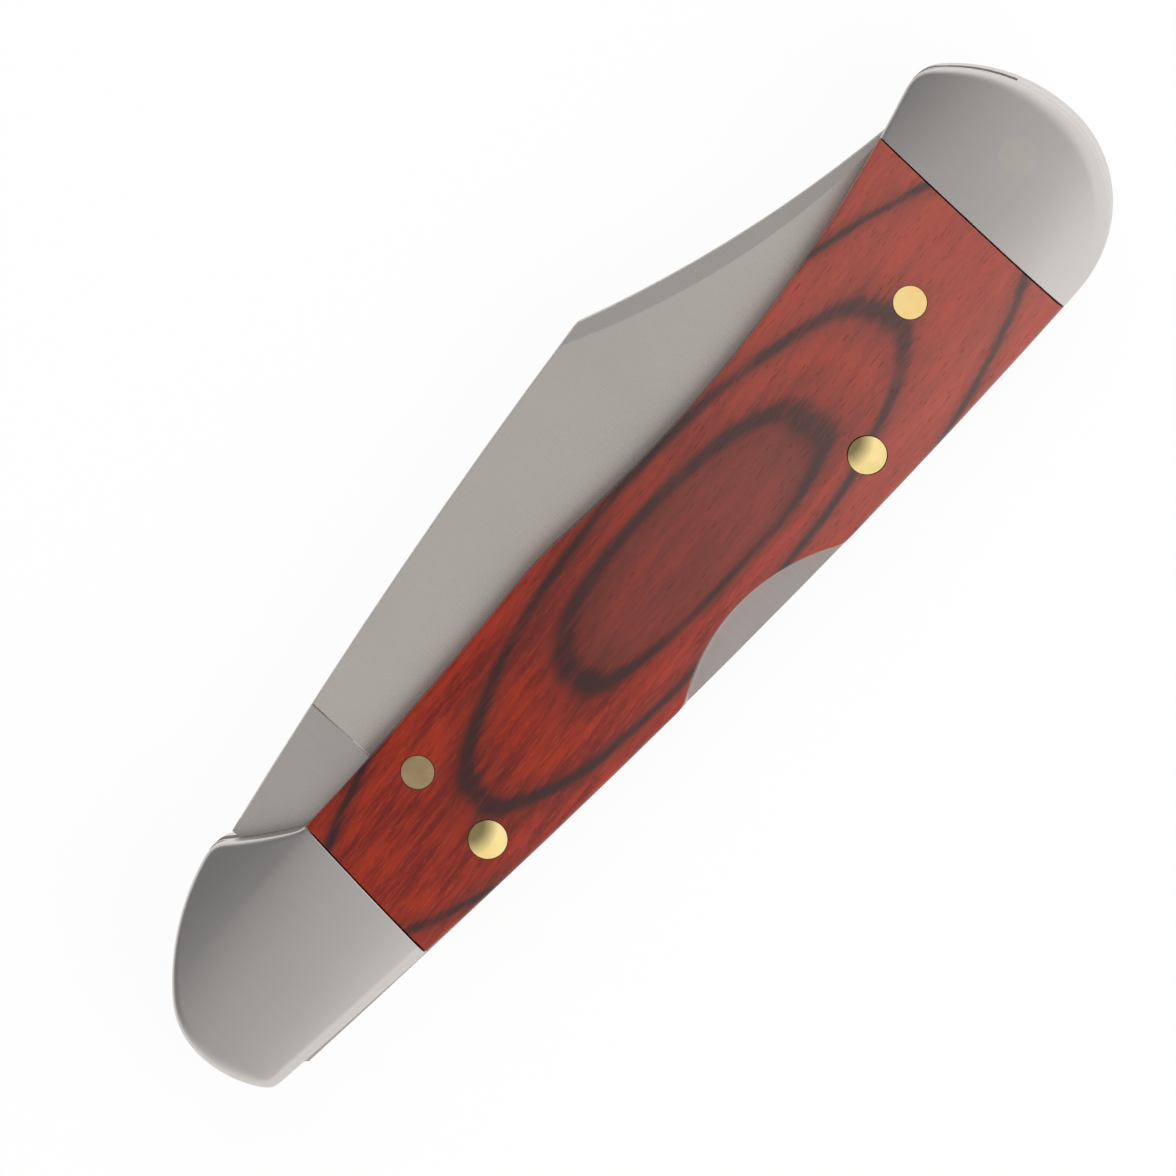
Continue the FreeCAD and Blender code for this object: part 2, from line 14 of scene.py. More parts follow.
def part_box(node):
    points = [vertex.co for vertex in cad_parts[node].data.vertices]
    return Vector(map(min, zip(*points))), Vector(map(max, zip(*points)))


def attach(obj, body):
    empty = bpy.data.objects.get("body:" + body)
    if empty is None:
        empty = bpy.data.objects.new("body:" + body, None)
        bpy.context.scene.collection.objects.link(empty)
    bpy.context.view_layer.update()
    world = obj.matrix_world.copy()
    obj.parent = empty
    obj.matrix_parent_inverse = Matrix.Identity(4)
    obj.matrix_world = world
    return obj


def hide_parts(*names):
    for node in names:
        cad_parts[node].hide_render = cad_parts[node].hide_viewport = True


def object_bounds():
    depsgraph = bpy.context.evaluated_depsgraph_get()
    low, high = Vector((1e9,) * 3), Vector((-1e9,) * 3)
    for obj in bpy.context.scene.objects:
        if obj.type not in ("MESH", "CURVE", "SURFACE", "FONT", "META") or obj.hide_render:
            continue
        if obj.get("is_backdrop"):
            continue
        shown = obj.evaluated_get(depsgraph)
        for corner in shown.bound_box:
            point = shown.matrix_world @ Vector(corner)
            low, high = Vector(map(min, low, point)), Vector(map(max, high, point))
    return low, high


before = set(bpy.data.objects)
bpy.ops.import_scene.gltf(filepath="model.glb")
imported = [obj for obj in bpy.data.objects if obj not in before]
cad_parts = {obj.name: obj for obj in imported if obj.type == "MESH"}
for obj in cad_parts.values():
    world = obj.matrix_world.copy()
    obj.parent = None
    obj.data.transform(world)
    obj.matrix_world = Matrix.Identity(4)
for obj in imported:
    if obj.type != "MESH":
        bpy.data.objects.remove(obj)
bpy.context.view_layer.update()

MM = 0.001
MERGE = 0.002 * MM
ROUND_STEPS = 64
TURNS = tuple(2 * math.pi * step / ROUND_STEPS for step in range(ROUND_STEPS))
MID_PLANE = (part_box("blade")[0].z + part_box("blade")[1].z) / 2
# A Mix node of colours takes them at the first two of these sockets and gives the result at the third.
MIX_UNDER = 6
MIX_OVER = 7
MIX_RESULT = 2
LOG = logging.getLogger("knife")

Piece = bpy.types.Object
Socket = bpy.types.NodeSocket
Tree = bpy.types.NodeTree
Colour = tuple[float, float, float, float]
Size = tuple[float, float, float]
Span = tuple[float, float]


class Side(Enum):
    """The two faces of the handle, as the sign of their height over the middle plane."""

    RIGHT = 1
    LEFT = -1


class Body(Enum):
    """The moving bodies of the frame."""

    HANDLE = "handle"
    BLADE = "blade"
    LOCK_BAR = "lock_bar"


class Slot(Enum):
    """The record's material slots."""

    BLADE_STEEL = "blade_steel"
    BOLSTER_STEEL = "bolster_steel"
    INNER_STEEL = "inner_steel"
    WOOD = "wood"
    BRASS = "brass"


def linear(colour: str) -> Colour:
    """Turns an sRGB hex colour to linear light.

    Args:
        colour: The colour as "#rrggbb".

    Returns:
        Linear red, green and blue, and an alpha of one.
    """
    channels = [int(colour[start : start + 2], 16) / 255 for start in (1, 3, 5)]
    red, green, blue = (c / 12.92 if c <= 0.04045 else ((c + 0.055) / 1.055) ** 2.4 for c in channels)
    return red, green, blue, 1.0


def add_node(tree: Tree, kind: str, inputs: dict | None = None, **settings: object) -> bpy.types.NodeOutputs:
    """Adds a node with its settings, socket values and links.

    Args:
        tree: The tree that takes the node.
        kind: The node's Blender type, without the "ShaderNode" that all of them start with.
        inputs: A value, or the socket to link from, for each input by name or number.
        **settings: The node's own properties.

    Returns:
        The new node's outputs.
    """
    node = tree.nodes.new("ShaderNode" + kind)
    for name, value in settings.items():
        setattr(node, name, value)
    for socket, value in (inputs or {}).items():
        if isinstance(value, Socket):
            tree.links.new(value, node.inputs[socket])
        else:
            node.inputs[socket].default_value = value
    return node.outputs


def new_material(name: str) -> bpy.types.Material:
    """Makes an empty node material.

    Args:
        name: The material's name.

    Returns:
        The material, with no nodes in it.
    """
    material = bpy.data.materials.new(name)
    material.use_nodes = True
    material.node_tree.nodes.clear()
    return material


def inverse(sizes: Sequence[float]) -> tuple[float, ...]:
    """Turns pattern sizes to the scale that a mapping needs."""
    return tuple(1 / size for size in sizes)


def between(span: Span) -> dict[str, float]:
    """Gives the inputs of a node that reads a value over a span."""
    return {"From Min": span[0], "From Max": span[1]}


def patches(tree: Tree, at: Socket, size: Size, detail: float) -> bpy.types.NodeOutputs:
    """Lays soft patches of a given size.

    Args:
        tree: The node tree.
        at: The point on the piece.
        size: The size of a patch along each axis, in the point's own unit.
        detail: How many finer layers it has.

    Returns:
        Their outputs, as a plain value and as a colour.
    """
    sized = add_node(tree, "Mapping", {"Vector": at, "Scale": inverse(size)})
    return add_node(tree, "TexNoise", {"Vector": sized[0], "Scale": 1.0, "Detail": detail})


def stain(
    tree: Tree,
    under: Socket | Colour,
    over: str,
    value: Socket,
    span: Span,
    most: float | Socket = 1.0,
    ease: str = "SMOOTHSTEP",
) -> Socket:
    """Lays one colour over another where a value passes through a span.

    Args:
        tree: The node tree.
        under: The lower colour.
        over: The upper colour as hex.
        value: The value to read.
        span: Where the upper colour starts to show and where it is full.
        most: The share of it that shows there.
        ease: How it comes in: Blender's name of the curve.

    Returns:
        The stained colour.
    """
    reading = {"Value": value, "To Max": most} | between(span)
    share = add_node(tree, "MapRange", reading, interpolation_type=ease)[0]
    tones = {0: share, MIX_UNDER: under, MIX_OVER: linear(over)}
    return add_node(tree, "Mix", tones, data_type="RGBA")[MIX_RESULT]


@dataclass(frozen=True)
class Finish:
    """A finish whose material is made once and then shared."""

    name: str

    def material(self) -> bpy.types.Material:
        """Gives the finish's material, and makes it on the first call.

        Returns:
            The material.
        """
        if self.name in bpy.data.materials:
            return bpy.data.materials[self.name]
        material = new_material(self.name)
        tree = material.node_tree
        place = add_node(tree, "TexCoord")["Object"]
        shader = add_node(tree, "BsdfPrincipled", self.surface(tree, place))
        add_node(tree, "OutputMaterial", {"Surface": shader[0]})
        return material

    def surface(self, tree: Tree, place: Socket) -> dict[str, object]:
        """Draws the finish.

        Args:
            tree: The material's node tree.
            place: The point on the piece, in metres.

        Returns:
            The shader's inputs.
        """
        raise NotImplementedError


@dataclass(frozen=True)
class SatinSteel(Finish):
    """Stainless steel ground on a belt: soft broad reflections, drawn out across fine parallel lines."""

    light: str
    dark: str
    roughness: float
    line_size: Size = (0.11 * MM, 6.0 * MM, 0.11 * MM)
    line_detail: float = 3.0
    line_span: Span = (0.3, 0.7)
    line_strength: float = 0.035
    line_depth: float = 0.01 * MM
    cloud_size: Size = (9.0 * MM, 9.0 * MM, 9.0 * MM)
    cloud_detail: float = 2.0
    wear_span: Span = (0.7, 1.3)
    rough_spread: float = 0.03

    def surface(self, tree: Tree, place: Socket) -> dict[str, object]:
        """Draws the grinding lines, which run across the knife.

        Args:
            tree: The material's node tree.
            place: The point on the piece, in metres.

        Returns:
            The shader's inputs.
        """
        # The real lines are about 0.03 mm wide: they are drawn coarser here, so that they show at all.
        lines = patches(tree, place, self.line_size, self.line_detail)["Fac"]
        clouds = patches(tree, place, self.cloud_size, self.cloud_detail)["Fac"]
        wear = add_node(tree, "Math", {0: lines, 1: clouds}, operation="ADD")[0]
        colour = stain(tree, linear(self.dark), self.light, wear, self.wear_span, ease="LINEAR")
        spread = {"Value": lines} | between(self.line_span)
        spread["To Min"] = self.roughness - self.rough_spread / 2
        spread["To Max"] = self.roughness + self.rough_spread / 2
        rough = add_node(tree, "MapRange", spread)[0]
        relief = {"Height": lines, "Strength": self.line_strength, "Distance": self.line_depth}
        bump = add_node(tree, "Bump", relief)[0]
        return {"Base Color": colour, "Metallic": 1.0, "Roughness": rough, "Normal": bump}


@dataclass(frozen=True)
class Oval:
    """One dark oval of the wood's figure: its middle and its reach along, up and down, in millimetres.

    Its band is a share of that reach, its lean is in degrees, and a larger blunt fills out its ends.
    """

    x: float
    y: float
    half_length: float
    rise: float
    fall: float
    band: float
    lean: float
    blunt: float

    def of_band(self, span: Span) -> Span:
        """Turns a span given in widths of the band to shares of the oval's reach."""
        return span[0] * self.band, span[1] * self.band


@dataclass(frozen=True)
class LaminatedWood(Finish):
    """Resin-soaked red veneers cut on a slant: dark nested ovals in red, short pores, a buffed gloss.

    Sizes and reaches are in millimetres, and a span runs from where a stain starts to where it is full.
    """

    ovals: tuple[Oval, ...]
    bright: str = "#962b17"
    deep: str = "#6c1c13"
    fleck: str = "#b4452a"
    heart: str = "#63332c"
    # The next two colours are a painted sheen and a painted grey glare towards the butt, not colours of the
    # wood itself.
    butt_sheen: str = "#b04c38"
    butt_glare: str = "#a88f8c"
    band: str = "#38201f"
    pore: str = "#40170f"
    grain_tilt: float = math.radians(-5.0)
    grain_span: Span = (0.36, 0.62)
    wander_size: Size = (12.0, 4.5, 6.0)
    wander_detail: float = 1.5
    wander_middle: Size = (0.5, 0.5, 0.5)
    wander_reach: Size = (4.0, 0.6, 0.0)
    streak_size: Size = (2.8, 0.32, 0.4)
    streak_detail: float = 3.0
    fray: float = 1.7
    patch_size: Size = (9.0, 1.1, 1.6)
    patch_detail: float = 2.0
    patch_share: float = 0.6
    pore_size: Size = (1.3, 0.12, 0.2)
    pore_detail: float = 2.0
    pore_span: Span = (0.60, 0.72)
    pore_share: float = 0.5
    pore_strength: float = 0.25
    pore_depth: float = 0.03 * MM
    fleck_span: Span = (0.56, 0.72)
    fleck_share: float = 0.4
    # Where the painted sheen and glare come in along the knife, and how much of each shows.
    sheen_span: Span = (-20.0, 44.0)
    sheen_share: float = 0.42
    glare_share: float = 0.14
    heart_span: Span = (1.1, 0.75)
    heart_share: float = 0.6
    halo_span: Span = (4.5, 1.0)
    halo_share: float = 0.34
    band_span: Span = (1.6, 0.3)
    worn_span: Span = (0.95, 0.45)
    buffed: float = 0.34
    unbuffed: float = 0.5
    coat: float = 0.08
    coat_roughness: float = 0.2
    gloss: float = 0.3

    def surface(self, tree: Tree, place: Socket) -> dict[str, object]:
        """Draws the red grain, the brown heart, the dark ovals and the pores, with a painted sheen and a
        painted grey glare towards the butt.

        Args:
            tree: The material's node tree.
            place: The point on the piece, in metres.

        Returns:
            The shader's inputs.
        """
        flat = add_node(tree, "Mapping", {"Vector": place, "Scale": inverse((MM, MM, MM))})[0]
        tilt = {"Vector": flat, "Rotation": (0, 0, self.grain_tilt)}
        turned = add_node(tree, "Mapping", tilt)[0]
        # Veneers waver by a millimetre or so over a centimetre, and more along the grain than across it.
        wander = patches(tree, turned, self.wander_size, self.wander_detail)["Color"]
        swing = {0: wander, 1: self.wander_middle}
        centred = add_node(tree, "VectorMath", swing, operation="SUBTRACT")
        pull = {0: centred[0], 1: self.wander_reach, 2: flat}
        wavy = add_node(tree, "VectorMath", pull, operation="MULTIPLY_ADD")[0]
        # Streaks follow the grain, a few millimetres long and a few tenths wide, and fray the bands' edges.
        streak = patches(tree, turned, self.streak_size, self.streak_detail)["Fac"]
        pluck = {0: streak, 1: self.fray, 2: -self.fray / 2}
        loose = add_node(tree, "Math", pluck, operation="MULTIPLY_ADD")
        along_grain = add_node(tree, "CombineXYZ", {"X": loose[0]})[0]
        frayed = add_node(tree, "VectorMath", {0: wavy, 1: along_grain}, operation="ADD")[0]
        patch = patches(tree, turned, self.patch_size, self.patch_detail)["Fac"]
        # A Mix node of plain numbers takes them at sockets 2 and 3.
        shares = {0: self.patch_share, 2: streak, 3: patch}
        grain = add_node(tree, "Mix", shares, data_type="FLOAT")[0]
        tone = stain(tree, linear(self.deep), self.bright, grain, self.grain_span)
        spots = patches(tree, turned, self.pore_size, self.pore_detail)["Color"]
        channels = add_node(tree, "SeparateColor", {0: spots})
        tone = stain(tree, tone, self.fleck, channels["Green"], self.fleck_span, self.fleck_share)
        along = add_node(tree, "SeparateXYZ", {0: wavy})["X"]
        # Painted sheen: the wood is painted paler and pinker towards the butt, where the buffed finish
        # catches the light.
        tone = stain(tree, tone, self.butt_sheen, along, self.sheen_span, self.sheen_share)
        core = self.oval(tree, wavy, self.ovals[0])
        tone = stain(tree, tone, self.heart, core, self.heart_span, self.heart_share)
        rubbed = {"Value": grain} | between(self.worn_span)
        worn = add_node(tree, "MapRange", rubbed, interpolation_type="SMOOTHSTEP")[0]
        for oval in self.ovals:
            past = {0: self.oval(tree, frayed, oval), 1: 1.0}
            off = add_node(tree, "Math", past, operation="SUBTRACT")[0]
            gap = add_node(tree, "Math", {0: off}, operation="ABSOLUTE")[0]
            tone = stain(tree, tone, self.band, gap, oval.of_band(self.halo_span), self.halo_share)
            tone = stain(tree, tone, self.band, gap, oval.of_band(self.band_span), worn)
        # Painted glare: a greyish-pink reflection of the light, laid over the wood towards the butt.
        tone = stain(tree, tone, self.butt_glare, along, self.sheen_span, self.glare_share)
        tone = stain(tree, tone, self.pore, channels["Red"], self.pore_span, self.pore_share)
        sunk = {"Value": channels["Red"]} | between(self.pore_span)
        pits = add_node(tree, "MapRange", sunk, interpolation_type="SMOOTHSTEP")[0]
        matt = {"Value": pits, "To Min": self.buffed, "To Max": self.unbuffed}
        rough = add_node(tree, "MapRange", matt)[0]
        relief = {"Height": pits, "Strength": self.pore_strength, "Distance": self.pore_depth}
        bump = add_node(tree, "Bump", relief, invert=True)[0]
        resin = {"Coat Weight": self.coat, "Coat Roughness": self.coat_roughness}
        resin["Specular IOR Level"] = self.gloss
        return resin | {"Base Color": tone, "Roughness": rough, "Normal": bump}

    def oval(self, tree: Tree, at: Socket, oval: Oval) -> Socket:
        """Measures how far out a point lies on one oval.

        Args:
            tree: The wood's node tree.
            at: The point, in millimetres.
            oval: The oval.

        Returns:
            A value that is one on the oval.
        """
        away = add_node(tree, "VectorMath", {0: at, 1: (oval.x, oval.y, 0.0)}, operation="SUBTRACT")
        level = {"Vector": away[0], "Angle": -math.radians(oval.lean)}
        along = add_node(tree, "VectorRotate", level, rotation_type="Z_AXIS")
        parts = add_node(tree, "SeparateXYZ", {0: along[0]})
        powers = []
        for axis, ahead, behind in (("X", oval.half_length, oval.half_length), ("Y", oval.rise, oval.fall)):
            far = add_node(tree, "Math", {0: parts[axis], 1: ahead}, operation="DIVIDE")
            back = add_node(tree, "Math", {0: parts[axis], 1: -behind}, operation="DIVIDE")
            ends = {0: far[0], 1: back[0]}
            out = add_node(tree, "Math", ends, operation="MAXIMUM")[0]
            powers.append(add_node(tree, "Math", {0: out, 1: oval.blunt}, operation="POWER")[0])
        both = add_node(tree, "Math", dict(enumerate(powers)), operation="ADD")[0]
        return add_node(tree, "Math", {0: both, 1: 1 / oval.blunt}, operation="POWER")[0]


@dataclass(frozen=True)
class TurnedBrass(Finish):
    """Brass pin stock buffed with the handle: warm, bright, with a little brown tarnish in clouds."""

    bright: str
    tarnish: str
    roughness: float
    metal: float = 1.0
    cloud_size: Size = (1.6 * MM, 1.6 * MM, 1.6 * MM)
    cloud_detail: float = 4.0
    tarnish_span: Span = (0.4, 0.75)
    tarnish_share: float = 0.6
    rough_shares: Span = (0.7, 1.4)

    def surface(self, tree: Tree, place: Socket) -> dict[str, object]:
        """Draws the brass with its tarnish.

        Args:
            tree: The material's node tree.
            place: The point on the piece, in metres.

        Returns:
            The shader's inputs.
        """
        clouds = patches(tree, place, self.cloud_size, self.cloud_detail)["Fac"]
        bright = linear(self.bright)
        colour = stain(tree, bright, self.tarnish, clouds, self.tarnish_span, self.tarnish_share, "LINEAR")
        least, most = (self.roughness * share for share in self.rough_shares)
        rough = add_node(tree, "MapRange", {"Value": clouds, "To Min": least, "To Max": most})[0]
        return {"Base Color": colour, "Metallic": self.metal, "Roughness": rough}


RIGHT_OVALS = (
    Oval(x=6.5, y=-6.6, half_length=15.6, rise=6.15, fall=3.35, band=0.10, lean=-1.0, blunt=2.5),
    Oval(x=5.6, y=-6.5, half_length=28.3, rise=9.1, fall=6.7, band=0.046, lean=2.0, blunt=2.1),
    Oval(x=5.2, y=-5.4, half_length=48.0, rise=13.0, fall=12.4, band=0.018, lean=0.0, blunt=1.7),
)
LEFT_OVALS = (
    Oval(x=-3.0, y=-3.4, half_length=14.0, rise=3.6, fall=5.2, band=0.10, lean=1.5, blunt=2.4),
    Oval(x=-4.5, y=-4.1, half_length=27.0, rise=7.6, fall=9.0, band=0.046, lean=-1.0, blunt=2.1),
    Oval(x=-4.0, y=-3.8, half_length=47.0, rise=12.4, fall=12.6, band=0.018, lean=0.0, blunt=1.7),
)
# The bolsters are ground with the wood: a grey sheen that follows the crown, duller round the butt.
BOLSTER_STEEL = SatinSteel("ground_bolster_steel", "#d8d3cf", "#d4cfcb", 0.38)
# Painted light: the butt steel's colours are a shade paler than the front bolsters', to brighten the butt.
PALER_BUTT_STEEL = SatinSteel("ground_butt_bolster_steel", "#dcd7d3", "#d8d3cf", 0.47)
# The blade is belt-ground to a finer satin: one even pale grey on each flat.
BLADE_STEEL = SatinSteel("satin_blade_steel", "#ded7cf", "#d9d2ca", 0.27)
# The plates between the sides keep the skin of rolled stock: a plain grey at the edges and in the scoop.
INNER_STEEL = SatinSteel("rolled_spring_steel", "#dcd5d0", "#d3ccc7", 0.36)
# A peened pin end is ground away with its bolster: only a faint paler disc is left.
PIN_STEEL = SatinSteel("peened_pin_steel", "#e0dad2", "#dcd6ce", 0.47)
# Each face of the handle has its own cut through the veneers, so its own ovals.
RIGHT_WOOD = LaminatedWood("laminated_red_wood_right", RIGHT_OVALS)
LEFT_WOOD = LaminatedWood("laminated_red_wood_left", LEFT_OVALS)
# Domed pins are buffed to a mirror, and flush rivets are ground: one is still bright, one is tarnished.
DOMED_BRASS = TurnedBrass("buffed_domed_brass", "#fbe4a0", "#ecce82", 0.05)
BRIGHT_BRASS = TurnedBrass("ground_flush_brass", "#ffe19a", "#f8d488", 0.6, 0.55)
DULL_BRASS = TurnedBrass("tarnished_flush_brass", "#dcc195", "#b0976b", 0.36)
# The washers are rolled bronze sheet: brown and dull between the tang and the liners.
WASHER_BRONZE = TurnedBrass("rolled_phosphor_bronze", "#b98a58", "#8f6a48", 0.4)


def only(piece: Piece) -> None:
    """Selects one piece alone and makes it active.

    Args:
        piece: The piece.
    """
    bpy.ops.object.select_all(action="DESELECT")
    piece.select_set(True)
    bpy.context.view_layer.objects.active = piece


@contextmanager
def editing(piece: Piece) -> Iterator[None]:
    """Opens one piece in edit mode with all of it selected, and closes it again.

    Args:
        piece: The piece to edit.

    Returns:
        A context in which mesh operators act on that piece.
    """
    only(piece)
    bpy.ops.object.mode_set(mode="EDIT")
    bpy.ops.mesh.select_mode(type="VERT")
    bpy.ops.mesh.select_all(action="SELECT")
    yield
    bpy.ops.object.mode_set(mode="OBJECT")


def copy_piece(source: Piece, name: str) -> Piece:
    """Copies a mesh as a new piece, with its doubles merged.

    Args:
        source: The object to copy.
        name: The new piece's name.

    Returns:
        The copy, with a mesh of its own.
    """
    piece = bpy.data.objects.new(name, source.data.copy())
    bpy.context.scene.collection.objects.link(piece)
    piece.data.materials.clear()
    with editing(piece):
        bpy.ops.mesh.remove_doubles(threshold=MERGE)
    return piece


def cut(piece: Piece, point: Sequence[float], normal: Sequence[float]) -> None:
    """Cuts a piece by a plane, drops what lies on the normal's side and closes the cut.

    Args:
        piece: The piece to cut.
        point: A point of the plane.
        normal: The direction that is dropped.
    """
    with editing(piece):
        bpy.ops.mesh.bisect(plane_co=point, plane_no=normal, use_fill=True, clear_outer=True)


def smooth(piece: Piece, angle: float) -> None:
    """Shades a piece smooth, but for edges that turn by more than the angle in degrees."""
    only(piece)
    bpy.ops.object.shade_smooth_by_angle(angle=math.radians(angle))


def clean(piece: Piece) -> None:
    """Merges points that lie together and drops faces without area.

    Args:
        piece: The piece.
    """
    with editing(piece):
        bpy.ops.mesh.remove_doubles(threshold=MERGE)
        bpy.ops.mesh.dissolve_degenerate(threshold=MERGE)


def carve(piece: Piece, cutter: Piece) -> None:
    """Cuts a piece by another shape, which is used up.

    Args:
        piece: The piece to carve.
        cutter: The shape that cuts it.
    """
    only(piece)
    carving = piece.modifiers.new("carving", "BOOLEAN")
    carving.operation = "DIFFERENCE"
    carving.solver = "EXACT"
    carving.object = cutter
    bpy.ops.object.modifier_apply(modifier=carving.name)
    bpy.data.objects.remove(cutter)


def cylinder(name: str, centre: Vector, radius: float, depth: float) -> Piece:
    """Adds an upright cylinder with its place kept in its mesh.

    Args:
        name: The cylinder's name.
        centre: Its middle.
        radius: Its radius.
        depth: Its height.

    Returns:
        The cylinder.
    """
    bpy.ops.object.select_all(action="DESELECT")
    bpy.ops.mesh.primitive_cylinder_add(vertices=ROUND_STEPS, radius=radius, depth=depth, location=centre)
    piece = bpy.context.object
    piece.name = name
    bpy.ops.object.transform_apply(location=True)
    return piece


def loft(name: str, rows: Sequence[Sequence[Vector]]) -> Piece:
    """Skins closed rows of points, all of the same count, and closes both ends.

    Args:
        name: The new piece's name.
        rows: The rows, from one end to the other.

    Returns:
        The skinned piece.
    """
    count = len(rows[0])
    bpy.ops.object.select_all(action="DESELECT")
    bpy.ops.mesh.primitive_grid_add(x_subdivisions=count, y_subdivisions=len(rows) - 1, size=1.0)
    piece = bpy.context.object
    piece.name = name
    piece.data.name = name
    for index, vertex in enumerate(piece.data.vertices):
        row, column = divmod(index, count + 1)
        vertex.co = rows[row][column % count]
    with editing(piece):
        bpy.ops.mesh.remove_doubles(threshold=MERGE)
        bpy.ops.mesh.delete_loose()
        bpy.ops.mesh.select_all(action="SELECT")
        bpy.ops.mesh.fill_holes(sides=0)
        bpy.ops.mesh.select_all(action="SELECT")
        bpy.ops.mesh.normals_make_consistent(inside=False)
    return piece


def pin_place(node: str) -> tuple[Vector, float]:
    """Finds an upright pin.

    Args:
        node: The pin's node.

    Returns:
        Its middle and its radius.
    """
    low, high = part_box(node)
    return (low + high) / 2, (high.x - low.x) / 2


def section(node: str, height: float) -> list[Vector]:
    """Cuts a CAD node level and walks round its outer line.

    Args:
        node: The node's name.
        height: The height of the cut.

    Returns:
        The points of the longest closed line, anticlockwise.
    """
    slice_ = copy_piece(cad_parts[node], "section_of_" + node)
    with editing(slice_):
        bpy.ops.mesh.bisect(plane_co=(0, 0, height), plane_no=(0, 0, 1), clear_inner=True, clear_outer=True)
        bpy.ops.mesh.select_all(action="SELECT")
        bpy.ops.mesh.remove_doubles(threshold=MERGE)
    points = [vertex.co.copy() for vertex in slice_.data.vertices]
    near: dict[int, list[int]] = {}
    for edge in slice_.data.edges:
        first, second = edge.vertices
        near.setdefault(first, []).append(second)
        near.setdefault(second, []).append(first)
    bpy.data.objects.remove(slice_)
    loops: list[list[Vector]] = []
    left = set(near)
    while left:
        walk = [min(left)]
        while walk[-1] in left:
            left.discard(walk[-1])
            walk.append(next((n for n in near[walk[-1]] if n in left), walk[0]))
        loops.append([points[index] for index in walk[:-1]])
    longest = max(loops, key=lambda loop: sum((a - b).length for a, b in zip(loop, loop[1:])))
    turn = sum(a.x * b.y - b.x * a.y for a, b in zip(longest, longest[1:] + longest[:1]))
    return longest if turn > 0 else longest[::-1]


def eased(row: list[Vector], passes: int) -> list[Vector]:
    """Eases each point of a closed row a quarter of the way towards either neighbour.

    Args:
        row: The points.
        passes: How often they are eased.

    Returns:
        The eased points.
    """
    for _ in range(passes):
        after = row[1:] + row[:1]
        row = [(row[i - 1] + 2 * point + after[i]) / 4 for i, point in enumerate(row)]
    return row


def even_points(loop: Sequence[Vector], step: float, passes: int) -> list[Vector]:
    """Spaces points evenly round a closed line and eases its facets.

    Args:
        loop: The line's points.
        step: The wanted spacing.
        passes: How often each point is eased towards its neighbours.

    Returns:
        The even points.
    """
    ends = list(loop[1:]) + [loop[0]]
    lengths = [(b - a).length for a, b in zip(loop, ends)]
    count = round(sum(lengths) / step)
    pace = sum(lengths) / count
    points: list[Vector] = []
    gone = 0.0
    for start, end, length in zip(loop, ends, lengths):
        while len(points) < count and len(points) * pace <= gone + length:
            points.append(start.lerp(end, (len(points) * pace - gone) / length))
        gone += length
    return eased(points, passes)


def dress(piece: Piece, finish: Finish, body: Body, slot: Slot, *nodes: str) -> None:
    """Gives a finished piece its material and body, and hides the nodes that it stands for.

    Args:
        piece: The finished piece.
        finish: The finish whose material it takes.
        body: The body that it rides on.
        slot: The record's material slot. Not used.
        *nodes: The CAD nodes that it replaces.
    """
    piece.data.materials.clear()
    piece.data.materials.append(finish.material())
    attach(piece, body.value)
    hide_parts(*nodes)
    LOG.info("%s: %d faces, rides %s", piece.name, len(piece.data.polygons), body.value)


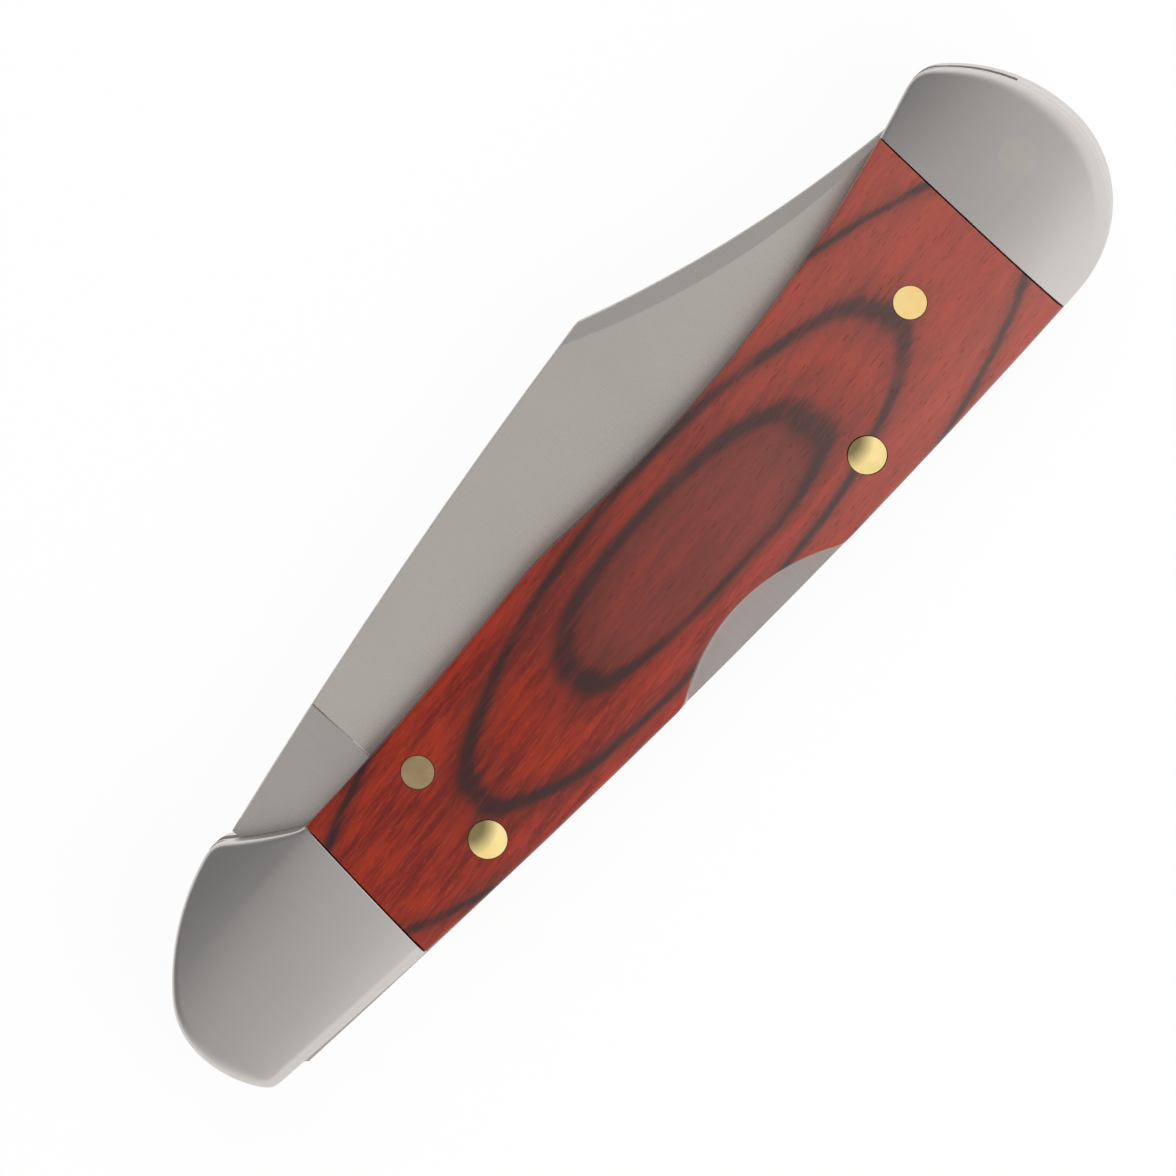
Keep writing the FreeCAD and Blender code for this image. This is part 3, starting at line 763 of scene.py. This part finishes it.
@dataclass
class GroundSides:
    """The two outer faces of the handle: wood between two bolsters, ground together to one crowned form."""

    outline_height: float = 2.1 * MM
    inner: float = 2.6 * MM
    bolster_top: float = 7.1 * MM
    wood_top: float = 7.04 * MM
    step: float = 0.4 * MM
    easing: int = 3
    turn_easing: int = 30
    rim_width: float = 1.0 * MM
    rim_drop: float = 0.8 * MM
    rim_steps: int = 9
    crown: float = 0.5 * MM
    edge_crown: float = 0.55 * MM
    crown_span: float = 10.0 * MM
    crown_ridge: float = -3.4 * MM
    ridge_climb: float = 0.02
    crown_step: float = 0.9 * MM
    scoop_centre: Span = (4.95 * MM, -31.225 * MM)
    scoop_radius: float = 19.1 * MM
    scoop_share: float = 0.4
    slot_share: float = 0.42
    butt_share: float = 1.4
    butt_power: float = 2.0
    nose_share: float = 1.5
    nose_power: float = 4.0
    scoop_fade: float = 3.0 * MM
    front_joint: Span = (-35.88 * MM, 0.0714)
    rear_joint: Span = (44.87 * MM, 0.0112)
    joint_gap: float = 0.13 * MM
    joint_edge: float = 0.14 * MM
    joint_steps: int = 3
    pin_gap: float = 0.06 * MM
    pin_foot: float = 2.8 * MM
    pin_rings: tuple[float, ...] = (1.0, 0.7, 0.35, 0.03)
    past_all: float = 28.4 * MM
    smooth_angle: float = 30.0
    outline: list[Vector] = field(init=False)
    inward: list[Vector] = field(init=False)

    def build(self) -> None:
        """Grinds, parts and dresses both sides."""
        line = section("liner_right", MID_PLANE + self.outline_height)
        self.outline = even_points(line, self.step, self.easing)
        self.inward = self.ways_in()
        for side in Side:
            self.build_side(side)

    def ways_in(self) -> list[Vector]:
        """Finds the direction into the handle at each point of its outline.

        Returns:
            The directions, eased along the outline so that a tight corner's rounding doesn't bunch up.
        """
        count = len(self.outline)
        along = [self.outline[(i + 1) % count] - self.outline[i - 1] for i in range(count)]
        ways = [Vector((-way.y, way.x, 0.0)).normalized() for way in along]
        return eased(ways, self.turn_easing)

    def off_ridge(self, place: Vector) -> float:
        """Measures how far a place lies from the crown's ridge, in spans of the crown."""
        return (place.y - self.crown_ridge - self.ridge_climb * place.x) / self.crown_span

    def crown_drop(self, place: Vector) -> float:
        """Gives how far the crowned face lies under its ridge."""
        out = self.off_ridge(place)
        return self.crown * out**2 + self.edge_crown * out**4

    def crown_slope(self, place: Vector) -> float:
        """Gives the angle by which the crowned face leans."""
        out = self.off_ridge(place)
        return math.atan((2 * self.crown * out + 4 * self.edge_crown * out**3) / self.crown_span)

    def rim_share(self, point: Vector, inward: Vector) -> float:
        """Tells how much of the full rim a point has.

        Args:
            point: The point on the outline.
            inward: The direction into the handle there.

        Returns:
            The share: less along the blade's slot and the thumb scoop, more round the butt.
        """
        away = (point.xy - Vector(self.scoop_centre)).length - self.scoop_radius
        near = 1 - min(1.0, max(0.0, away) / self.scoop_fade)
        slot = max(0.0, -inward.y)
        butt = max(0.0, -inward.x) ** self.butt_power
        nose = max(0.0, inward.x) ** self.nose_power
        less = (1 - self.scoop_share) * near + (1 - self.slot_share) * slot
        return 1 - less + (self.butt_share - 1) * butt + (self.nose_share - 1) * nose

    def ground(self, name: str, top: float, side: Side) -> Piece:
        """Builds one whole ground side, from the liner to the crowned face.

        Args:
            name: The piece's name.
            top: The height of the crown's ridge over the middle plane.
            side: The side of the handle.

        Returns:
            The closed ground side.
        """
        rows = [[Vector((p.x, p.y, MID_PLANE + side.value * self.inner)) for p in self.outline]]
        for step in range(self.rim_steps + 1):
            turn = step / self.rim_steps * math.pi / 2
            row = []
            for point, way in zip(self.outline, self.inward):
                share = self.rim_share(point, way)
                place = point + way * self.rim_width * share * (1 - math.cos(turn))
                drop = self.rim_drop * share * (1 - math.sin(turn))
                row.append(Vector((place.x, place.y, MID_PLANE + side.value * (top - drop))))
            rows.append(row)
        stock = loft(name, rows)
        heights = [point.y - self.ridge_climb * point.x for point in self.outline]
        lines = int((max(heights) - min(heights)) / self.crown_step)
        across = (-self.ridge_climb, 1, 0)
        for line in range(1, lines + 1):
            with editing(stock):
                bpy.ops.mesh.bisect(plane_co=(0, min(heights) + line * self.crown_step, 0), plane_no=across)
        for vertex in stock.data.vertices:
            if abs(vertex.co.z - MID_PLANE) > self.inner + MERGE:
                vertex.co.z -= side.value * self.crown_drop(vertex.co)
        return stock

    def trim(self, piece: Piece, joint: Span, past: float, way: int) -> None:
        """Cuts a piece off at one of the joints between wood and bolster.

        Args:
            piece: The piece.
            joint: The joint's place and lean.
            past: How far past the joint the cut lies.
            way: The side that is dropped: 1 towards the butt, -1 towards the nose.
        """
        cut(piece, (joint[0] + past, 0, 0), (way, -way * joint[1], 0))

    def build_side(self, side: Side) -> None:
        """Builds the wood, the two bolsters and the flush pins of one side.

        Args:
            side: The side of the handle.
        """
        label = side.name.lower()
        steel = self.ground("bolster_stock", self.bolster_top, side)
        veneer = self.ground("wood_stock", self.wood_top, side)
        wood = copy_piece(veneer, "wood_scale_" + label)
        self.trim(wood, self.front_joint, self.joint_gap, -1)
        self.trim(wood, self.rear_joint, -self.joint_gap, 1)
        front = copy_piece(steel, "front_bolster_ground_" + label)
        self.trim(front, self.front_joint, 0.0, 1)
        self.ease_joint(front, self.front_joint)
        rear = copy_piece(steel, "rear_bolster_ground_" + label)
        self.trim(rear, self.rear_joint, 0.0, -1)
        self.ease_joint(rear, self.rear_joint)
        for end, finish in (("front_", DULL_BRASS), ("rear_", BRIGHT_BRASS)):
            node = "scale_rivet_" + end + label
            rivet = self.flush_pin(node, node + "_flush", veneer, side)
            self.bore(node, wood, self.pin_gap)
            dress(rivet, finish, Body.HANDLE, Slot.BRASS, node)
        for node in ("lock_bar_pin", "spacer_pin"):
            self.bore(node, wood, self.pin_gap)
        pin = self.flush_pin("rear_bolster_pin", "rear_bolster_pin_end_" + label, steel, side)
        self.bore("rear_bolster_pin", rear, 0.0)
        for piece in (wood, front, rear):
            clean(piece)
            smooth(piece, self.smooth_angle)
        dress(pin, PIN_STEEL, Body.HANDLE, Slot.BOLSTER_STEEL)
        dress(wood, RIGHT_WOOD if side is Side.RIGHT else LEFT_WOOD, Body.HANDLE, Slot.WOOD, "scale_" + label)
        dress(front, BOLSTER_STEEL, Body.HANDLE, Slot.BOLSTER_STEEL, "front_bolster_" + label)
        dress(rear, PALER_BUTT_STEEL, Body.HANDLE, Slot.BOLSTER_STEEL, "rear_bolster_" + label)
        for stock in (steel, veneer):
            bpy.data.objects.remove(stock)

    def ease_joint(self, bolster: Piece, joint: Span) -> None:
        """Rounds a bolster's outer edge where it meets the wood.

        Args:
            bolster: The bolster.
            joint: The joint's place and lean.
        """
        points = bolster.data.vertices
        with editing(bolster):
            bpy.ops.mesh.select_all(action="DESELECT")
        face = {v.index for v in points if abs(v.co.x - joint[0] - joint[1] * v.co.y) < MERGE}
        outer = {index for index in face if abs(points[index].co.z - MID_PLANE) > self.inner + MERGE}
        for edge in bolster.data.edges:
            edge.select = face.issuperset(edge.vertices) and not outer.isdisjoint(edge.vertices)
        only(bolster)
        bpy.ops.object.mode_set(mode="EDIT")
        bpy.ops.mesh.select_mode(type="EDGE")
        bpy.ops.mesh.bevel(offset=self.joint_edge, segments=self.joint_steps, clamp_overlap=False)
        bpy.ops.object.mode_set(mode="OBJECT")

    def bore(self, node: str, piece: Piece, spare: float) -> None:
        """Drills a piece for a pin.

        Args:
            node: The pin's node, for its place and size.
            piece: The piece that is drilled.
            spare: The room round the pin.
        """
        middle, radius = pin_place(node)
        middle.z = MID_PLANE
        carve(piece, cylinder("drill", middle, radius + spare, self.past_all))

    def flush_pin(self, node: str, name: str, stock: Piece, side: Side) -> Piece:
        """Builds a pin whose end is ground flush with the handle's crowned face.

        Args:
            node: The pin's node, for its place and size.
            name: The new pin's name.
            stock: The whole ground side, which the end follows.
            side: The side of the handle.

        Returns:
            The pin.
        """
        centre, radius = pin_place(node)
        foot = MID_PLANE + side.value * self.pin_foot
        rounds = [Vector((math.cos(turn), math.sin(turn))) * radius for turn in TURNS]
        rows = [[(centre.xy + spoke).to_3d() + Vector((0, 0, foot)) for spoke in rounds]]
        for share in self.pin_rings:
            spots = [centre.xy + spoke * share for spoke in rounds]
            rows.append([Vector((*spot, self.face_height(stock, spot, side))) for spot in spots])
        pin = loft(name, rows)
        smooth(pin, self.smooth_angle)
        return pin

    def face_height(self, stock: Piece, spot: Vector, side: Side) -> float:
        """Feels for the height of a ground face at one place.

        Args:
            stock: The ground side.
            spot: The place along and across the knife.
            side: The side of the handle.

        Returns:
            The height of the face.
        """
        start = (*spot, MID_PLANE + side.value * self.past_all)
        found, place, _, _ = stock.ray_cast(start, (0, 0, -side.value))
        if not found:
            raise ValueError(f"no ground face at {spot}")
        return place.z


@dataclass
class ClipBlade:
    """The clip-point blade: flat tang, plunge, tall grind, swedge along the clip and a nail nick."""

    heel: float = -39.8 * MM
    heel_steps: int = 6
    plunge: float = -27.8 * MM
    ramp: float = 0.16 * MM
    ramp_steps: int = 2
    scribe: float = 0.16 * MM
    stations: int = 150
    crowding: float = 1.5
    relief: float = 0.03 * MM
    grind_power: float = 0.75
    grind_steps: int = 9
    edge_half: float = 0.2 * MM
    sharp_half: float = 0.03 * MM
    bevel_height: float = 0.8 * MM
    spine_round: float = 0.12 * MM
    spine_room: float = 1.2
    edge_share: float = 0.3
    crest_share: float = 0.5
    top_share: float = 0.2
    round_share: float = 0.4
    least_height: float = 0.02 * MM
    swedge_start: Span = (10.8 * MM, 15.5 * MM)
    swedge_end: Span = (46.2 * MM, 6.525 * MM)
    swedge_power: float = 2.05
    swedge_slope: float = 0.02
    crease_angle: float = 2.5
    nick_place: Span = (5.2 * MM, 12.5 * MM)
    nick_lean: float = math.radians(8.3)
    nick_tip: float = math.radians(14.0)
    nick_radius: float = 22.0 * MM
    nick_depth: float = 0.45 * MM
    nick_width: float = 1.1 * MM
    half: float = field(init=False)
    peak: Vector = field(init=False)
    tip: Vector = field(init=False)
    spine: list[Span] = field(init=False)
    lower: list[Span] = field(init=False)

    def build(self) -> None:
        """Grinds the blade, joins it to its tang and dresses it."""
        low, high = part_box("blade")
        self.half = (high.z - low.z) / 2
        line = section("blade", MID_PLANE)
        self.peak = max(line, key=lambda point: point.y)
        tip = max(range(len(line)), key=lambda index: line[index].x)
        self.tip = line[tip]
        round_ = line[tip:] + line[: tip + 1]
        self.spine = self.run(round_)
        self.lower = self.run(round_[::-1])
        rows = [self.ring(x) for x in self.places()]
        rows.append([self.tip.copy() for _ in rows[0]])
        blade = loft("ground_blade", rows)
        self.cut_nick(blade)
        self.add_tang(blade)
        smooth(blade, self.crease_angle)
        dress(blade, BLADE_STEEL, Body.BLADE, Slot.BLADE_STEEL, "blade")

    def places(self) -> list[float]:
        """Lists where the blade's sections lie.

        Returns:
            The places: on the ricasso, down the plunge and on to the point, where they crowd.
        """
        flat = [self.heel + (self.plunge - self.heel) * k / self.heel_steps for k in range(self.heel_steps)]
        drop = [self.plunge + self.ramp * k / self.ramp_steps for k in range(self.ramp_steps)]
        start = self.plunge + self.ramp
        shares = [1 - (1 - k / self.stations) ** self.crowding for k in range(self.stations)]
        return flat + drop + [start + (self.tip.x - start) * share for share in shares]

    def run(self, line: Sequence[Vector]) -> list[Span]:
        """Follows the outline from the point of the blade back to the heel.

        Args:
            line: The outline's points, from the point of the blade on.

        Returns:
            The run's places and heights, sorted along the knife.
        """
        run = [(line[0].x, line[0].y)]
        for point in line[1:]:
            run.append((point.x, point.y))
            if point.x < self.heel:
                break
        return sorted(run)

    def ring(self, x: float) -> list[Vector]:
        """Lays out the blade's section at one place.

        Args:
            x: The place along the knife.

        Returns:
            The points round the section.
        """
        foot = self.height(self.lower, x)
        head = max(self.height(self.spine, x), foot + self.least_height)
        tall = head - foot
        full = tall
        if x > self.peak.x:
            full = self.height(self.spine, self.peak.x) - self.height(self.lower, self.peak.x)
        ground = min(1.0, max(0.0, (x - self.plunge) / self.ramp))
        crest = min(self.swedge(x), head - min(self.spine_room * self.spine_round, self.edge_share * tall))
        crest = max(crest, foot + self.crest_share * tall)

        def thick(y: float) -> float:
            """Gives half the blade's thickness, ground by the local share.

            Args:
                y: The height.

            Returns:
                Half the thickness there.
            """
            rise = min(1.0, max(0.0, (y - foot) / full))
            wedge = self.edge_half + (self.half - self.relief - self.edge_half) * rise**self.grind_power
            scribed = self.scribe if 0.0 < ground < 1.0 else 0.0
            return self.half + (wedge - self.half) * ground - scribed

        bevel = foot + min(self.bevel_height, self.edge_share * tall)
        lost = (head - crest) * self.swedge_slope * ground
        top = max(thick(crest) - lost, self.top_share * thick(crest))
        ease = min(self.spine_round, self.edge_share * tall, self.round_share * top)
        side = [(foot, self.half + (self.sharp_half - self.half) * ground)]
        for step in range(self.grind_steps + 1):
            y = bevel + (crest - bevel) * step / self.grind_steps
            side.append((y, thick(y)))
        side += [(head - ease, top), (head, top - ease)]
        right = [Vector((x, y, MID_PLANE + z)) for y, z in side]
        left = [Vector((x, y, MID_PLANE - z)) for y, z in reversed(side)]
        return right + left

    def swedge(self, x: float) -> float:
        """Gives the height of the swedge's lower line.

        Args:
            x: The place along the knife.

        Returns:
            A hollow curve from the spine to the point, and a height over the spine before it starts.
        """
        start, end = Vector(self.swedge_start), Vector(self.swedge_end)
        if x < start.x:
            return 2 * self.peak.y
        share = max(0.0, (end.x - x) / (end.x - start.x))
        return end.y + (start.y - end.y) * share**self.swedge_power

    def height(self, line: Sequence[Span], x: float) -> float:
        """Reads a line's height at a place along the knife.

        Args:
            line: The line's points, sorted along the knife.
            x: The place.

        Returns:
            The height there.
        """
        for (x0, y0), (x1, y1) in zip(line, line[1:]):
            if x0 <= x <= x1 and x1 > x0:
                return y0 + (y1 - y0) * (x - x0) / (x1 - x0)
        return line[-1][1] if x > line[-1][0] else line[0][1]

    def cut_nick(self, blade: Piece) -> None:
        """Cuts the nail nick into the left face with a thin, tipped disc.

        Args:
            blade: The ground part.
        """
        disc = cylinder("nick_cutter", Vector((0, 0, 0)), self.nick_radius, self.nick_width)
        height = MID_PLANE - self.half - self.nick_radius + self.nick_depth
        upright = Matrix.Rotation(math.pi / 2 + self.nick_tip, 4, "X")
        place = Matrix.Translation((*self.nick_place, height)) @ Matrix.Rotation(self.nick_lean, 4, "Z")
        disc.data.transform(place @ upright)
        carve(blade, disc)

    def add_tang(self, blade: Piece) -> None:
        """Joins the tang, cut from the CAD blade, to the ground part.

        Args:
            blade: The ground part, which starts at the heel.
        """
        tang = copy_piece(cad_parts["blade"], "tang")
        cut(tang, (self.heel, 0, 0), (1, 0, 0))
        only(blade)
        tang.select_set(True)
        bpy.ops.object.join()


@dataclass
class InnerWorks:
    """What lies between the sides: liners, lock bar, back spacer, spring, washers and the through pins."""

    sides: GroundSides
    smooth_angle: float = 30.0
    lip: float = 0.05 * MM
    dome_rise: float = 0.5 * MM
    dome_steps: int = 10
    pivot_short: float = 1.6 * MM
    rear_short: float = 1.9 * MM

    def build(self) -> None:
        """Builds and dresses the inner pieces and the pins."""
        for node in ("liner_left", "liner_right", "back_spacer"):
            self.smooth_copy(node, Body.HANDLE)
        self.smooth_copy("lock_bar", Body.LOCK_BAR)
        for node in ("lock_bar_pin", "spacer_pin"):
            self.domed_pin(node)
        self.hidden_pin("pivot_pin", self.pivot_short)
        self.hidden_pin("rear_bolster_pin", self.rear_short)
        for node, finish in (
            ("lock_spring", INNER_STEEL),
            ("pivot_washer_left", WASHER_BRONZE),
            ("pivot_washer_right", WASHER_BRONZE),
        ):
            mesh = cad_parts[node].data
            mesh.materials.clear()
            mesh.materials.append(finish.material())

    def smooth_copy(self, node: str, body: Body) -> None:
        """Copies a CAD plate with its curved edges shaded smooth.

        Args:
            node: The plate's node.
            body: The body that it rides on.
        """
        piece = copy_piece(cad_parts[node], node + "_ground")
        smooth(piece, self.smooth_angle)
        dress(piece, INNER_STEEL, body, Slot.INNER_STEEL, node)

    def domed_pin(self, node: str) -> None:
        """Builds a brass pin through the handle, with a low dome that leans with the wood at each end.

        Args:
            node: The pin's node.
        """
        middle, radius = pin_place(node)
        lean = self.sides.crown_slope(middle)
        base = self.sides.wood_top - self.sides.crown_drop(middle)
        ball = (radius**2 + self.dome_rise**2) / (2 * self.dome_rise)
        profile = [(1.0, 0.0)]
        for step in range(self.dome_steps):
            share = 1.0 - step / self.dome_steps
            rise = math.sqrt(ball**2 - (share * radius) ** 2) - ball + self.dome_rise
            profile.append((share, self.lip + rise))
        rows: list[list[Vector]] = []
        for side in (Side.LEFT, Side.RIGHT):
            dome = []
            for share, rise in profile:
                row = []
                for turn in TURNS:
                    x = radius * share * math.cos(turn)
                    y = radius * share * math.sin(turn)
                    tipped = Vector((x, y * math.cos(lean) + rise * math.sin(lean), 0.0))
                    tipped.z = side.value * (base - y * math.sin(lean) + rise * math.cos(lean))
                    row.append(Vector((middle.x, middle.y, MID_PLANE)) + tipped)
                dome.append(row)
            rows += dome if side is Side.RIGHT else dome[::-1]
        pin = loft(node + "_domed", rows)
        smooth(pin, self.smooth_angle)
        dress(pin, DOMED_BRASS, Body.HANDLE, Slot.BRASS, node)

    def hidden_pin(self, node: str, short: float) -> None:
        """Builds a steel pin whose ends stay under the bolsters' faces.

        Args:
            node: The pin's node.
            short: How far under the face each end stays.
        """
        low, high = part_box(node)
        middle, radius = pin_place(node)
        pin = cylinder(node + "_shank", middle, radius, high.z - low.z - 2 * short)
        smooth(pin, self.smooth_angle)
        dress(pin, PIN_STEEL, Body.HANDLE, Slot.BOLSTER_STEEL, node)


@dataclass(frozen=True)
class Lamp:
    """A soft lamp: its name, where it hangs, in metres, and its power in watts."""

    name: str
    place: Size
    power: float


@dataclass
class Studio:
    """A pale floor, soft light from a bright room, and the camera of the photograph."""

    view_width: float = 105.1 * MM
    distance: float = 1.4
    sensor: float = 36.0
    tilt_along: float = math.radians(6.5)
    turn: float = math.radians(47.25)
    target: Size = (-2.49 * MM, -1.245 * MM, 14.0 * MM)
    floor_size: float = 3.0
    floor_glow: float = 0.94
    paper: str = "#f4f4f3"
    wall: str = "#ffffff"
    ceiling: str = "#828385"
    skirting: float = 0.95
    skirting_span: Span = (0.25, 0.62)
    ceiling_way: Size = (-0.20, 0.79, 0.58)
    ceiling_span: Span = (0.117, 0.812)
    room_light: str = "#bcbcbc"
    lamp_size: float = 0.6
    lamps: tuple[Lamp, ...] = (
        Lamp("window_lamp", (0.15, -0.45, 0.45), 2.4),
        Lamp("fill_lamp", (0.35, 0.25, 0.60), 2.0),
    )

    def build(self) -> None:
        """Sets up the floor, the world, the lamps and the camera."""
        bpy.context.scene.view_settings.view_transform = "Standard"
        self.lay_floor()
        self.light_world()
        for lamp in self.lamps:
            self.hang_lamp(lamp)
        self.stand_camera()

    def seen_rays(self, tree: Tree) -> Socket:
        """Tells the rays that look at the room from those that only light the knife.

        Args:
            tree: The node tree that asks.

        Returns:
            One for camera, glossy and transmission rays.
        """
        rays = add_node(tree, "LightPath")
        seen = {0: rays["Is Camera Ray"], 1: rays["Is Glossy Ray"]}
        direct = add_node(tree, "Math", seen, operation="MAXIMUM")
        either = {0: direct[0], 1: rays["Is Transmission Ray"]}
        return add_node(tree, "Math", either, operation="MAXIMUM")[0]

    def lay_floor(self) -> None:
        """Lays the pale floor, which the camera sees as white with the knife's soft shadow."""
        bpy.ops.object.select_all(action="DESELECT")
        bpy.ops.mesh.primitive_plane_add(size=self.floor_size, location=(0, 0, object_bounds()[0][2]))
        floor = bpy.context.object
        floor.name = "studio_floor"
        paper = new_material("white_paper_sweep")
        tree = paper.node_tree
        diffuse = add_node(tree, "BsdfDiffuse", {"Color": linear(self.paper)})
        glow = add_node(tree, "Emission", {"Color": linear(self.wall), "Strength": 1.0})
        share = {0: self.seen_rays(tree), 1: self.floor_glow}
        shown = add_node(tree, "Math", share, operation="MULTIPLY")
        mixed = {0: shown[0], 1: diffuse[0], 2: glow[0]}
        surface = add_node(tree, "MixShader", mixed)
        add_node(tree, "OutputMaterial", {"Surface": surface[0]})
        floor.data.materials.append(paper)
        floor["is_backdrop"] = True

    def light_world(self) -> None:
        """Lights the room: white walls, a little dimmer low down, and a grey ceiling that the steel shows."""
        world = bpy.data.worlds.new("studio_room")
        world.use_nodes = True
        bpy.context.scene.world = world
        tree = world.node_tree
        tree.nodes.clear()
        way = add_node(tree, "TexCoord")["Generated"]
        facing = {0: way, 1: self.ceiling_way}
        rise = add_node(tree, "VectorMath", facing, operation="DOT_PRODUCT")["Value"]
        room = stain(tree, linear(self.wall), self.ceiling, rise, self.ceiling_span, ease="LINEAR")
        height = add_node(tree, "SeparateXYZ", {0: way})["Z"]
        low = {"Value": height, "To Min": self.skirting} | between(self.skirting_span)
        dim = add_node(tree, "MapRange", low)[0]
        walls = add_node(tree, "VectorMath", {0: room, 3: dim}, operation="SCALE")[0]
        level = {0: self.seen_rays(tree), MIX_UNDER: linear(self.room_light), MIX_OVER: walls}
        light = add_node(tree, "Mix", level, data_type="RGBA")[MIX_RESULT]
        background = add_node(tree, "Background", {"Color": light, "Strength": 1.0})
        add_node(tree, "OutputWorld", {"Surface": background[0]})

    def hang_lamp(self, lamp: Lamp) -> None:
        """Hangs a square soft lamp that faces the knife and shows in no mirror.

        Args:
            lamp: The lamp.
        """
        light = bpy.data.lights.new(lamp.name, "AREA")
        light.size = self.lamp_size
        light.energy = lamp.power
        holder = bpy.data.objects.new(lamp.name, light)
        holder.location = lamp.place
        holder.visible_glossy = False
        holder.visible_camera = False
        holder.rotation_euler = (-Vector(lamp.place)).to_track_quat("-Z", "Y").to_euler()
        bpy.context.scene.collection.objects.link(holder)

    def stand_camera(self) -> None:
        """Stands the camera where the photograph was taken: almost straight above, turned and tipped."""
        back = Vector((math.tan(self.tilt_along), 0.0, 1.0)).normalized()
        flat = Vector((math.cos(self.turn), -math.sin(self.turn), 0.0))
        right = (flat - back * flat.dot(back)).normalized()
        up = back.cross(right)
        lens = bpy.data.cameras.new("photo_camera")
        lens.sensor_width = self.sensor
        lens.lens = self.sensor * self.distance / self.view_width
        camera = bpy.data.objects.new("photo_camera", lens)
        turn = Matrix((right, up, back)).transposed().to_4x4()
        camera.matrix_world = Matrix.Translation(Vector(self.target) + back * self.distance) @ turn
        bpy.context.scene.collection.objects.link(camera)
        bpy.context.scene.camera = camera


def main() -> None:
    """Builds the knife's pieces in order, then the studio round it."""
    logging.basicConfig(level=logging.INFO, format="%(name)s: %(message)s")
    sides = GroundSides()
    sides.build()
    ClipBlade().build()
    InnerWorks(sides).build()
    Studio().build()


if __name__ == "__main__":
    main()
